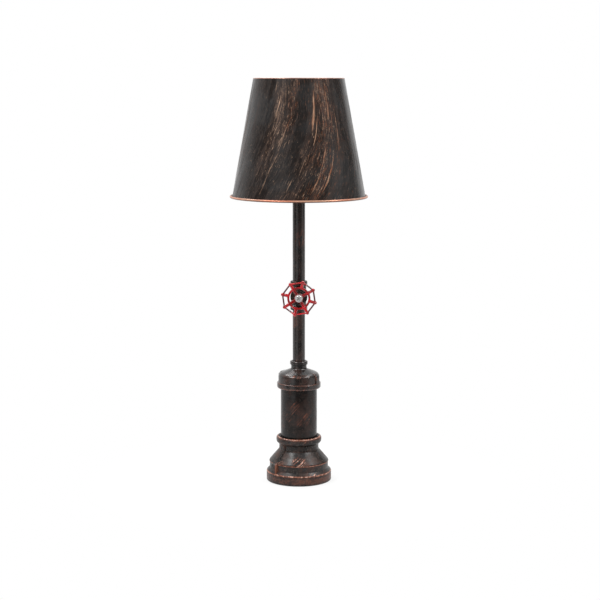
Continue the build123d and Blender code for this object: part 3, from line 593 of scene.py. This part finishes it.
# foot, a ribbed cast reducer
footSizes = {
    "outline": [
        (50.2, 0.8, 0.6), (50.2, 15.5, 1.2), (45.4, 20.3, 0.6), (45.4, 29.7, 0.3), (46.0, 29.7, 0.35),
        (46.0, 31.6, 1.7), (30.5, 49.6, 1.6), (30.5, 57.3, 0.8), (34.95, 61.5, 2.2), (34.95, 69.9, 3.2),
        (31.45, 69.9, 0.7), (28.05, 65.9, 0), (28.05, 52.9, 0), (25.3, 52.9, 0), (25.3, 47.0, 0),
        (40.2, 29.0, 0), (40.2, 3.8, 0), (46.5, 3.8, 0), (46.5, 0.8, 0),
    ],
    "rib": [
        (43.9, 14.0), (49.9, 14.0), (49.9, 29.7), (46.5, 31.6), (32.0, 49.6), (32.0, 58.8), (29.0, 58.8),
        (29.0, 48.1), (43.9, 30.1),
    ],
    "hole": [
        (0, 38.0, 0), (4.0, 38.0, 0), (4.0, 49.7, 0), (5.4, 49.7, 0), (5.4, 53.0, 0), (0, 53.0, 0),
    ],
    "ribWidth": 10.0, "ribEase": 0.6, "ribTurns": (217.5, 37.5), "steps": 160, "holeSteps": 64,
    "span": 40.0,
    "rings": [
        ((50.0, 15.3), 1.8, 0.9), ((50.2, 8.0), 7.5, 0.34), ((46.1, 30.2), 1.6, 0.75),
        ((33.0, 69.8), 1.9, 1.0), ((34.7, 68.4), 1.2, 0.5), ((34.9, 61.6), 1.2, 0.15),
        ((30.8, 49.8), 1.0, 0.2),
    ],  # radius and level, reach, weight
    "patches": [
        (0.02, 37.0, 15.0, 8.0, 1.0), (0.1, 32.5, 14.0, 4.0, 1.0), (-0.75, 34.0, 12.0, 5.0, 0.8),
        (0.55, 16.5, 10.0, 4.0, 0.8), (0.3, 66.0, 8.0, 3.0, 0.7), (1.9, 38.0, 14.0, 9.0, 0.9),
        (-2.2, 36.0, 15.0, 8.0, 0.9), (2.9, 40.0, 12.0, 8.0, 0.8),
    ],  # angle, level, width, height, weight
    "edges": [
        (217.5, 4.9, 15, 31.5, 0.55, 0.6), (37.5, 4.9, 15, 31.5, 0.55, 0.6),
    ],  # turn, side, low, high, reach, weight
    "finish": {"lean": 52, "wear": 0.2, "grain": 0.17, "warmth": 0.75, "strokes": 760.0, "gloss": 0.28,
               "rough": (0.27, 0.45)},
}
bushSizes = {
    "outline": [
        (3.1, 40.2, 0), (3.9, 40.2, 0), (3.9, 49.7, 0), (5.1, 49.7, 0.2), (5.1, 51.7, 0.95),
        (3.1, 51.7, 0.5),
    ],
    "level": 9.0, "steps": 64,
}
feltSizes = {"radius": 45.9, "thick": 1.8, "ease": 0.5}
bushPlace = upBy(bushSizes["level"]) @ Matrix.Rotation(-pi / 2, 4, "X")


def footCasting():
    size = footSizes
    ribbed = ribbedCasting("footRibbed", size)
    bm = bmesh.new()
    bm.from_mesh(ribbed)
    bpy.data.meshes.remove(ribbed)
    hole = placed(lathe(size["hole"], size["holeSteps"], False), bushPlace)  # lets the bush through
    mesh = carved("footCasting", bm, [hole], "DIFFERENCE")
    finish = charcoalFinish("footIron", size["span"], size["rings"], size["patches"], size["edges"],
                            **size["finish"])
    addPiece("footCasting", mesh, [finish], ["base_reducer"])


def feltDisc():
    radius, thick, ease = feltSizes["radius"], feltSizes["thick"], feltSizes["ease"]
    bm = lathe([(0, 0, 0), (radius, 0, ease), (radius, thick, ease), (0, thick, 0)], closed=False)
    finish = plainFinish("feltBlack", tint(48, 48, 48), tint(66, 64, 62), 260.0, (0.9, 1.0), grain=0.8,
                         specular=0.1, sheen=0.4)
    addPiece("feltDisc", meshFrom("feltDisc", bm), [finish], ["felt_pad"])


def cordBush():
    bm = placed(lathe(bushSizes["outline"], bushSizes["steps"]), bushPlace)
    addPiece("cordBush", meshFrom("cordBush", bm), [blackPlastic], ["cord_bush"])


blackPlastic = plainFinish("blackPlastic", tint(30, 30, 31), tint(42, 42, 43), 90.0, (0.3, 0.45),
                           grain=0.05)
footCasting()
feltDisc()
cordBush()
print("foot done")


# wide tube and the reducer on it
capSizes = {
    "outline": [
        (28.05, 145.8, 0.5), (33.75, 145.8, 2.4), (33.75, 154.6, 1.2), (31.75, 154.6, 0.5),
        (31.75, 168.2, 5.0), (12.0, 175.6, 2.2), (12.0, 182.0, 0.5), (13.6, 182.0, 1.4), (13.6, 187.8, 1.6),
        (11.0, 187.8, 0.4), (9.6, 186.2, 0), (9.6, 173.8, 0), (7.7, 173.8, 0), (7.7, 169.6, 0),
        (25.45, 162.0, 0), (25.45, 158.7, 0), (28.05, 158.7, 0),
    ],
    "rib": [
        (30.2, 151.8), (33.55, 151.8), (33.55, 165.1), (29.25, 169.8), (22.9, 171.0), (22.9, 169.5),
        (26.7, 166.1), (30.2, 162.6),
    ],
    "ribWidth": 9.5, "ribEase": 0.8, "ribTurns": (332, 152), "steps": 144, "span": 31.0,
    "rings": [
        ((33.3, 154.3), 1.2, 0.45), ((30.4, 167.2), 2.6, 0.15), ((13.4, 187.2), 0.8, 0.25),
        ((33.4, 147.4), 1.8, 0.35),
    ],  # radius and level, reach, weight
    "patches": [
        # the first three patches, on the dome's shoulder, are rubbed copper laid where light catches the
        # shoulder: partly wear, partly a painted highlight
        (0.0, 167.0, 6.0, 3.5, 0.75), (-0.3, 167.6, 6.0, 3.0, 0.7), (0.5, 168.0, 6.0, 3.0, 0.6),
        (-0.9, 149.0, 9.0, 4.0, 0.7), (0.1, 147.5, 12.0, 3.0, 0.6), (2.2, 166.0, 9.0, 4.0, 0.8),
        (-2.4, 160.0, 9.0, 5.0, 0.7),
    ],  # angle, level, width, height, weight
    "edges": [
        (332, -4.6, 160, 171, 0.55, 0.35), (152, -4.6, 160, 171, 0.55, 0.35),
    ],  # turn, side, low, high, reach, weight
    "finish": {"lean": 62, "wear": 0.2, "grain": 0.11, "warmth": 0.45, "gloss": 0.48, "rough": (0.13, 0.27),
               "specks": 0.25},
}
poleSizes = {
    "outer": 9.5, "inner": 7.7, "lower": (173.8, 280.3), "upper": (299.5, 463.9),
    "finish": {"lean": 14, "wear": 0.5, "grain": 0.1, "warmth": 0.5, "gloss": 0.52, "specks": 0.25},
}
tubeSizes = {
    "outer": 27.95, "inner": 25.45, "levels": (52.9, 158.7),
    "patches": [
        (-0.2, 115.0, 13.0, 18.0, 0.45), (-0.62, 103.0, 8.0, 9.0, 0.5), (0.44, 101.0, 8.0, 13.0, 0.62),
        (0.05, 96.0, 9.0, 9.0, 0.4), (1.9, 112.0, 13.0, 17.0, 0.6), (-2.1, 98.0, 13.0, 15.0, 0.6),
        (2.8, 120.0, 11.0, 14.0, 0.55),
    ],  # angle, level, width, height, weight
    "finish": {"lean": 42, "wear": 0.2, "grain": 0.08, "warmth": 0.36, "gloss": 0.24, "specks": 0.14},
}
pipeEases = {"outer": 0.4, "inner": 0.3}


def capCasting():
    size = capSizes
    mesh = ribbedCasting("capCasting", size)
    finish = charcoalFinish("capIron", size["span"], size["rings"], size["patches"], size["edges"],
                            **size["finish"])
    addPiece("capCasting", mesh, [finish], ["upper_reducer"])


def pipe(name, size, levels, finish, node):
    outer, inner = ((size[wall], pipeEases[wall]) for wall in ("outer", "inner"))
    walls = [(inner, levels[0]), (outer, levels[0]), (outer, levels[1]), (inner, levels[1])]
    bm = lathe([(radius, level, ease) for (radius, ease), level in walls])
    addPiece(name, meshFrom(name, bm), [finish], [node])


poleFinish = charcoalFinish("polePaint", poleSizes["outer"], **poleSizes["finish"])
tubeFinish = charcoalFinish("tubePaint", tubeSizes["outer"], patches=tubeSizes["patches"],
                            **tubeSizes["finish"])
capCasting()
pipe("wideTube", tubeSizes, tubeSizes["levels"], tubeFinish, "body_tube")
pipe("lowerPole", poleSizes, poleSizes["lower"], poleFinish, "lower_pole")
pipe("upperPole", poleSizes, poleSizes["upper"], poleFinish, "upper_pole")
print("tube and poles done")


# valve tee, plug and handwheel; plug and wheel are made flat and then turned to face the front
teeSizes = {
    "level": 289.9,
    "arm": [
        (0, 0, 0), (11.4, 0, 0), (11.4, 15.0, 0.9), (13.05, 15.0, 1.0), (13.05, 22.6, 1.6), (0, 22.6, 0),
    ],
    "branch": [
        (0, 0, 0), (10.5, 0, 0), (10.5, 15.0, 0.9), (13.05, 15.0, 1.0), (13.05, 22.6, 1.6), (0, 22.6, 0),
    ],
    "steps": 96, "voxel": 0.45, "rounds": 5, "span": 13.0,
    "finish": {"lean": 20, "wear": 0.5, "grain": 0.3},
}
plugSizes = {
    "flats": 19.0, "thick": 3.0, "middle": 24.1, "ease": 0.4, "crease": 50, "steps": 64, "span": 13.0,
    "shank": [(0, 17.6, 0), (8.5, 17.6, 0), (8.5, 22.8, 0), (0, 22.8, 0)],
    "finish": {"lean": 20, "wear": 0.4, "grain": 0.3},
}
teeMiddle = upBy(teeSizes["level"])
branchTurn = teeMiddle @ Matrix.Rotation(pi / 2, 4, "X")


def valveTee():
    size = teeSizes
    bm = placed(lathe(size["arm"], size["steps"], False), teeMiddle)
    lowerArm = teeMiddle @ Matrix.Rotation(pi, 4, "X")
    joinInto(bm, placed(lathe(size["arm"], size["steps"], False), lowerArm))
    joinInto(bm, placed(lathe(size["branch"], size["steps"], False), branchTurn))
    mesh = castSmooth("valveTee", bm, size["voxel"], size["rounds"])
    finish = charcoalFinish("teeIron", size["span"], **size["finish"])
    addPiece("valveTee", mesh, [finish], ["valve_tee"])


def hexPlug():
    size = plugSizes
    radius = size["flats"] / sqrt(3) * mm  # over its corners
    bm = bmesh.new()
    bmesh.ops.create_cone(bm, cap_ends=True, segments=6, radius1=radius, radius2=radius,
                          depth=size["thick"] * mm)
    roundEdges(bm, size["ease"])
    placed(bm, branchTurn @ upBy(size["middle"]))
    joinInto(bm, placed(lathe(size["shank"], size["steps"], False), branchTurn))
    mesh = meshFrom("hexPlug", bm, size["crease"])
    finish = charcoalFinish("plugIron", size["span"], **size["finish"])
    addPiece("hexPlug", mesh, [finish], ["branch_plug"])


wheelSizes = {
    "hubMiddle": 32.6, "ringRise": 3.24, "dish": 5.4, "turn": 30.8, "corners": 8, "corner": 25.4,
    "knob": 2.6, "knobSteps": (20, 12), "bar": 1.25, "barDeep": 1.6, "rodSteps": 20, "ring": 16.0,
    "ringWidth": 1.7, "ringDepth": 2.45, "ringSteps": 96, "ringSection": 24, "spokeRoot": 2.65,
    "spokeTip": 2.1, "web": 2.45, "webRoot": 4.6, "hub": 6.6, "hubHalf": 3.25, "hubEase": 1.0,
    "hubSteps": 64, "voxel": 0.32, "rounds": 7,
}
wheelLook = {
    # bar is a painted shade colour, laid on the side bars of the rim
    "deep": tint(136, 2, 8), "red": tint(200, 16, 30), "inside": tint(138, 0, 3), "bar": tint(84, 22, 26),
    "broad": (150.0, 3.0), "fine": (900.0, 3.0), "redFade": (0.0, 1.0, 0.38, 0.62),
    "roughFade": (0.18, 0.32, 0.3, 0.7), "specular": 0.35, "coatRough": 0.06, "fineGrain": 0.25,
    "grain": 0.25, "grainDepth": 0.25,
    # of the fades on this line, the one to the inside colour is painted shade: the webs turn darker towards
    # the hub, where they sit deeper
    "coatFade": (0.05, 0.7, 0.013, 0.021), "hubShadeFade": (0.0, 1.0, 0.0095, 0.0165),
    "barShadeFade": (0.0, 1.0, 0.0195, 0.0215),  # these three go by metres from the middle
    "cornerFade": (0.0, 1.0, 0.07, 0.16), "uprightFade": (1.0, 0.0, 0.84, 0.9),
}


def rod(start, end, thickStart, thickEnd, deep=1.0):
    bm = bmesh.new()
    way = Vector(end) - Vector(start)
    bmesh.ops.create_cone(bm, cap_ends=True, segments=wheelSizes["rodSteps"], radius1=thickStart * mm,
                          radius2=thickEnd * mm, depth=way.length * mm)
    turn = way.to_track_quat("Z", "Y").to_matrix().to_4x4() @ Matrix.Diagonal((1, deep, 1, 1))
    return placed(bm, Matrix.Translation((Vector(start) + way / 2) * mm) @ turn)


def wheelRed():
    look, size = wheelLook, wheelSizes
    finish = Finish("wheelRed")
    x, z = finish.axes.outputs["X"], finish.minus(finish.height(), teeSizes["level"] * mm)
    away = finish.longSide(x, z)
    angle = finish.minus(finish.calc("ARCTAN2", z, x), radians(size["turn"]))
    corner = finish.calc("PINGPONG", angle, pi / size["corners"])
    # painted shade: the side bars of the rim turn dark brown-red between the corners, while the top and
    # bottom bars stay red
    bars = finish.times(finish.turnTo(away, *look["barShadeFade"]), finish.turnTo(corner, *look["cornerFade"]))
    upright = finish.calc("DIVIDE", finish.calc("ABSOLUTE", z), away)
    bars = finish.times(bars, finish.turnTo(upright, *look["uprightFade"]))  # top and bottom bars stay red
    broad = finish.noise(finish.place, *look["broad"])
    fine = finish.noise(finish.place, *look["fine"])
    red = finish.blend(look["deep"], look["red"], finish.turnTo(broad, *look["redFade"]))
    # painted shade: the red turns darker towards the hub
    red = finish.blend(look["inside"], red, finish.turnTo(away, *look["hubShadeFade"]))
    finish.set(color=finish.blend(red, look["bar"], bars), rough=finish.turnTo(fine, *look["roughFade"]),
               specular=look["specular"], coat=finish.turnTo(away, *look["coatFade"]),
               coatRough=look["coatRough"])
    finish.bump(finish.plus(broad, finish.times(fine, look["fineGrain"])), look["grain"], look["grainDepth"])
    return finish.material


def handwheel():
    size = wheelSizes
    rise = Vector((0, 0, size["ringRise"]))
    bm = bmesh.new()
    bmesh.ops.create_circle(bm, segments=size["ringSection"], radius=1.0)
    placed(bm, Matrix.Translation((size["ring"] * mm, 0, size["ringRise"] * mm))
           @ Matrix.Rotation(pi / 2, 4, "X")
           @ Matrix.Diagonal((size["ringWidth"] * mm, size["ringDepth"] * mm, 1, 1)))
    spinRound(bm, size["ringSteps"])
    tips = []
    for index in range(size["corners"]):
        turn = radians(size["turn"] + index * 360 / size["corners"])
        out = Vector((cos(turn), sin(turn), 0))
        onRing = out * size["ring"] + rise
        tip = out * size["corner"] + Vector((0, 0, size["dish"]))
        tips.append(tip)
        knob = bmesh.new()
        bmesh.ops.create_uvsphere(knob, u_segments=size["knobSteps"][0], v_segments=size["knobSteps"][1],
                                  radius=size["knob"] * mm)
        joinInto(bm, placed(knob, Matrix.Translation(tip * mm)))
        joinInto(bm, rod(onRing, tip, size["spokeRoot"], size["spokeTip"]))
        if index % 2 == 0:
            joinInto(bm, rod(out * size["webRoot"], onRing, size["web"], size["web"]))
    for a, b in zip(tips, tips[1:] + tips[:1]):
        joinInto(bm, rod(a, b, size["bar"], size["bar"], size["barDeep"]))
    hub, half, ease = size["hub"], size["hubHalf"], size["hubEase"]
    hubOutline = [(0, -half, 0), (hub, -half, ease), (hub, half, ease), (0, half, 0)]
    joinInto(bm, lathe(hubOutline, size["hubSteps"], False))
    placed(bm, branchTurn @ upBy(size["hubMiddle"]))
    mesh = castSmooth("handwheel", bm, size["voxel"], size["rounds"])
    addPiece("handwheelRed", mesh, [wheelRed()], ["handwheel"], "valve_wheel")


zincFinish = plainFinish("zincSteel", tint(214, 212, 210), tint(196, 196, 198), 220.0, (0.22, 0.4),
                         metal=0.5, grain=0.06)
screwSizes = {
    "screw": [
        (0, 27.85, 0), (2.0, 27.85, 0.3), (2.0, 36.65, 0), (5.2, 36.65, 0.3), (5.2, 39.25, 2.0),
        (0, 39.25, 0),
    ],
    "washer": [(2.2, 35.85, 0.1), (6.0, 35.85, 0.2), (6.0, 36.65, 0.2), (2.2, 36.65, 0.1)],
    "top": 39.25, "crossTurns": (35, 125), "crossSize": (6.2, 1.3, 2.8), "steps": 64,
}


def wheelScrew():
    # pan head with a cross cut in it, and its washer
    size = screwSizes
    bm = placed(lathe(size["screw"], size["steps"], False), branchTurn)
    cross = bmesh.new()
    for turn in size["crossTurns"]:
        slot = bmesh.new()
        bmesh.ops.create_cube(slot, size=1.0)
        shape = Matrix.Diagonal([side * mm for side in size["crossSize"]] + [1])
        spot = branchTurn @ upBy(size["top"]) @ Matrix.Rotation(radians(turn), 4, "Z")
        joinInto(cross, placed(slot, spot @ shape))
    mesh = carved("wheelScrew", bm, [cross], "DIFFERENCE")
    addPiece("wheelScrewZinc", mesh, [zincFinish], ["wheel_screw"], "valve_wheel")
    washer = meshFrom("wheelWasherZinc", placed(lathe(size["washer"], size["steps"]), branchTurn))
    addPiece("wheelWasherZinc", washer, [zincFinish], ["wheel_washer"], "valve_wheel")


valveTee()
hexPlug()
handwheel()
wheelScrew()
print("tee and wheel done")


# lampholder inside the shade
holderSizes = {
    "cap": [
        (5.1, 466.9, 0), (8.0, 466.9, 0.5), (8.0, 471.9, 0.6), (20.5, 481.9, 3.0), (20.5, 488.9, 0.5),
        (17.7, 488.9, 0), (17.7, 486.9, 0), (15.9, 486.9, 0), (15.9, 481.9, 0), (8.0, 475.9, 0),
        (5.1, 475.9, 0),
    ],
    "sleeveFoot": [(17.7, 488.9, 0), (19.8, 488.9, 0.2)],
    "sleeveTop": [(19.8, 525.9, 0.6), (14.2, 525.9, 0.6), (14.2, 523.9, 0), (17.7, 523.9, 0)],
    "thread": 19.8, "threadDeep": 0.45, "threadFoot": 489.6, "threadStep": 0.9, "threadTurns": 38,
    "steps": 96, "crease": 50,
}
ringSizes = {
    "outline": [
        (19.9, 0, 0.2), (28.0, 0, 0.4), (28.0, 2.0, 0.5), (22.5, 2.0, 0.2), (22.5, 7.0, 0.5),
        (19.9, 7.0, 0.3),
    ],
    "lower": 499.9, "upper": 501.4, "hub": 22.5, "hubRoom": 0.1, "grips": 60, "gripEdge": 0.1,
    "gripDeep": 0.5, "gripArea": 1.2, "gripTilt": 0.2,
}


def shadeRing(name, node, level, way):
    # flanged ring nut with a ribbed grip round its hub
    size = ringSizes
    bm = lathe(size["outline"], size["grips"] * 2)
    walls = []
    for face in bm.faces:
        out = face.calc_center_median().xy.length / mm
        broad = face.calc_area() > size["gripArea"] * mm * mm
        if broad and abs(face.normal.z) < size["gripTilt"] and abs(out - size["hub"]) < size["hubRoom"]:
            walls.append(face)
    walls.sort(key=lambda face: face.calc_center_median().xy.angle_signed(Vector((1, 0))))
    bmesh.ops.inset_individual(bm, faces=walls[::2], thickness=size["gripEdge"] * mm,
                               depth=-size["gripDeep"] * mm)
    placed(bm, upBy(level) @ Matrix.Diagonal((1, 1, way, 1)))
    bmesh.ops.recalc_face_normals(bm, faces=bm.faces)
    addPiece(name, meshFrom(name, bm), [blackPlastic], [node])


def holderShell():
    size = holderSizes
    cap = meshFrom("holderCap", lathe(size["cap"], size["steps"]))
    addPiece("holderCap", cap, [blackPlastic], ["lampholder_cap"])
    thread = []
    for turn in range(size["threadTurns"]):
        radius = size["thread"] - size["threadDeep"] * (turn % 2)
        thread.append((radius, size["threadFoot"] + turn * size["threadStep"], 0))
    outline = size["sleeveFoot"] + thread + size["sleeveTop"]
    sleeve = meshFrom("holderSleeve", lathe(outline, size["steps"]), size["crease"])
    addPiece("holderSleeve", sleeve, [blackPlastic], ["lampholder_sleeve"])


holderShell()
shadeRing("lowerRingNut", "lower_shade_ring", ringSizes["lower"], -1)
shadeRing("upperRingNut", "upper_shade_ring", ringSizes["upper"], 1)
print("lampholder done")


# nodes that keep their CAD shape get their finish here
brassFinish = plainFinish("rawBrass", tint(190, 152, 84), tint(206, 172, 108), 120.0, (0.25, 0.42),
                          metal=1.0, grain=0.05)
ironFinish = plainFinish("rawIron", tint(96, 96, 94), tint(124, 122, 118), 60.0, (0.55, 0.75), metal=0.4,
                         grain=0.6)
whiteFinish = plainFinish("whiteNylon", tint(226, 224, 216), tint(234, 232, 226), 60.0, (0.45, 0.6),
                          grain=0.05)
porcelainFinish = plainFinish("porcelain", tint(232, 230, 222), tint(238, 236, 230), 40.0, (0.2, 0.32),
                              grain=0.03)
rubberFinish = plainFinish("cableRubber", tint(34, 34, 34), tint(46, 46, 46), 80.0, (0.55, 0.7), grain=0.15)
keptFinishes = [
    (zincFinish, ["base_plate", "base_plate_screws", "ballast_screws", "terminal_screw", "switch_nut",
                  "switch_spindle", "pole_top_bush", "spider_ring", "spider_arms"]),
    (brassFinish, ["lampholder_nipple", "screw_shell", "centre_contact"]),
    (rubberFinish, ["lower_cable", "upper_cable"]),
    (ironFinish, ["ballast_weight"]),
    (whiteFinish, ["terminal_block"]),
    (blackPlastic, ["rotary_switch"]),
    (porcelainFinish, ["lampholder_insert"]),
]
for keptFinish, nodeNames in keptFinishes:
    for nodeName in nodeNames:
        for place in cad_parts[nodeName].material_slots:
            place.material = keptFinish
print("kept nodes finished:", sum(len(nodeNames) for keptFinish, nodeNames in keptFinishes))


# floor, dim room behind the camera, white world and lamps, in metres
studio = {
    "floor": 9.0, "front": -0.36, "floorShare": 0.8, "shadowSpan": (0.12, 0.34),
    "floorTone": (0.9, 0.9, 0.9, 1), "floorRough": 0.9, "fill": 0.5,
}
roomSizes = {
    "radius": 3.2, "halfTurn": 130, "steps": 46, "low": -1.2, "top": 3.0, "dim": 0.2, "window": 1.1,
    "windowAt": 0.75, "windowSpan": (0.05, 0.5), "windowTop": (1.0, 2.6),
    "shiftFade": (-0.12, 0.5, -0.1, 0.1), "paleSpan": (1.55, 2.2), "overFrom": 1.6,
}  # half turn in degrees, other angles in radians


def seenShare(tree, most):
    # how much the camera, and mirrors and glass, see of the plain white
    rays = tree.nodes.new("ShaderNodeLightPath").outputs
    seen = mathNode(tree, "MAXIMUM", rays["Is Camera Ray"], rays["Is Glossy Ray"])
    seen = mathNode(tree, "MAXIMUM", seen, rays["Is Transmission Ray"])
    return mathNode(tree, "MULTIPLY", seen, most)


def floorFinish():
    finish = Finish("paleFloor")
    finish.set(color=studio["floorTone"], rough=studio["floorRough"])
    glow = finish.node("ShaderNodeEmission")
    both = finish.node("ShaderNodeMixShader")
    # shadow only close to the foot
    most = finish.turnTo(finish.radius(), studio["floorShare"], 1.0, *studio["shadowSpan"])
    finish.feed(both.inputs[0], seenShare(finish.tree, most))
    finish.feed(both.inputs[1], finish.shader.outputs[0])
    finish.feed(both.inputs[2], glow.outputs[0])
    finish.feed(finish.tree.nodes["Material Output"].inputs[0], both.outputs[0])
    return finish.material


def roomFinish():
    # dim wall with a soft window on each side of the camera, white towards the back
    size = roomSizes
    finish = Finish("dimRoom")
    glow = finish.node("ShaderNodeEmission")
    turned = finish.around()
    angle = finish.minus(finish.calc("ABSOLUTE", turned), finish.turnTo(turned, *size["shiftFade"]))
    window = finish.turnTo(finish.apart(angle, size["windowAt"]), size["window"], 0.0, *size["windowSpan"])
    window = finish.times(window, finish.turnTo(finish.height(), 1.0, 0.0, *size["windowTop"]))
    side = finish.turnTo(angle, size["dim"], 1.0, *size["paleSpan"])
    over = finish.turnTo(finish.height(), 0.0, 1.0, size["overFrom"], size["top"])
    finish.feed(glow.inputs["Strength"], finish.larger(finish.larger(side, over), window))
    finish.feed(finish.tree.nodes["Material Output"].inputs[0], glow.outputs[0])
    return finish.material


def stagePiece(name, bm, material):
    mesh = rawMesh(name, bm)
    mesh.materials.append(material)
    piece = linked(name, mesh)
    return piece


def paleFloor():
    bm = bmesh.new()
    bmesh.ops.create_grid(bm, x_segments=1, y_segments=1, size=studio["floor"])
    bmesh.ops.translate(bm, verts=bm.verts, vec=(0, studio["floor"] + studio["front"], 0))
    stagePiece("floor", bm, floorFinish())


def dimRoom():
    size = roomSizes
    bm = bmesh.new()
    bm.edges.new([bm.verts.new((0, -size["radius"], level)) for level in (size["low"], size["top"])])
    turn = radians(size["halfTurn"])
    bmesh.ops.rotate(bm, verts=bm.verts, cent=(0, 0, 0), matrix=Matrix.Rotation(-turn, 3, "Z"))
    bmesh.ops.spin(bm, geom=bm.verts[:] + bm.edges[:], cent=(0, 0, 0), axis=(0, 0, 1), angle=2 * turn,
                   steps=size["steps"])
    room = stagePiece("dimRoom", bm, roomFinish())
    room.visible_camera = False


def whiteWorld():
    world = bpy.data.worlds.new("studioWorld")
    bpy.context.scene.world = world
    world.use_nodes = True
    sky = world.node_tree
    backdrop = sky.nodes["Background"]
    backdrop.inputs["Color"].default_value = (1, 1, 1, 1)
    level = mathNode(sky, "ADD", seenShare(sky, 1 - studio["fill"]), studio["fill"])
    sky.links.new(level, backdrop.inputs["Strength"])


softBoxes = {
    "leftBox": ((-1.2, -0.8, 1.95), (0, 0, 0.35), (0.7, 0.5), 25),
    "rightBox": ((1.35, -0.5, 1.85), (0, 0, 0.35), (0.7, 0.5), 19.5),
    "topBox": ((0.0, 0.2, 2.3), (0, 0, 0.3), (1.2, 1.0), 7),
    "backBox": ((-0.85, 0.95, 2.0), (0, 0, 0.35), (0.9, 0.7), 17),
    "farBox": ((0.95, 1.0, 2.0), (0, 0, 0.35), (0.7, 0.6), 5),
}  # place, aim, width and height, power


def softBox(name, place, aim, size, power):
    lampData = bpy.data.lights.new(name, "AREA")
    lampData.shape = "RECTANGLE"
    lampData.size, lampData.size_y = size
    lampData.energy = power
    lamp = linked(name, lampData)
    lamp.location = place
    lamp.rotation_euler = (Vector(aim) - Vector(place)).to_track_quat("-Z", "Y").to_euler()


paleFloor()
dimRoom()
whiteWorld()
for boxName, boxSettings in softBoxes.items():
    softBox(boxName, *boxSettings)

bpy.context.scene.view_settings.view_transform = "Standard"
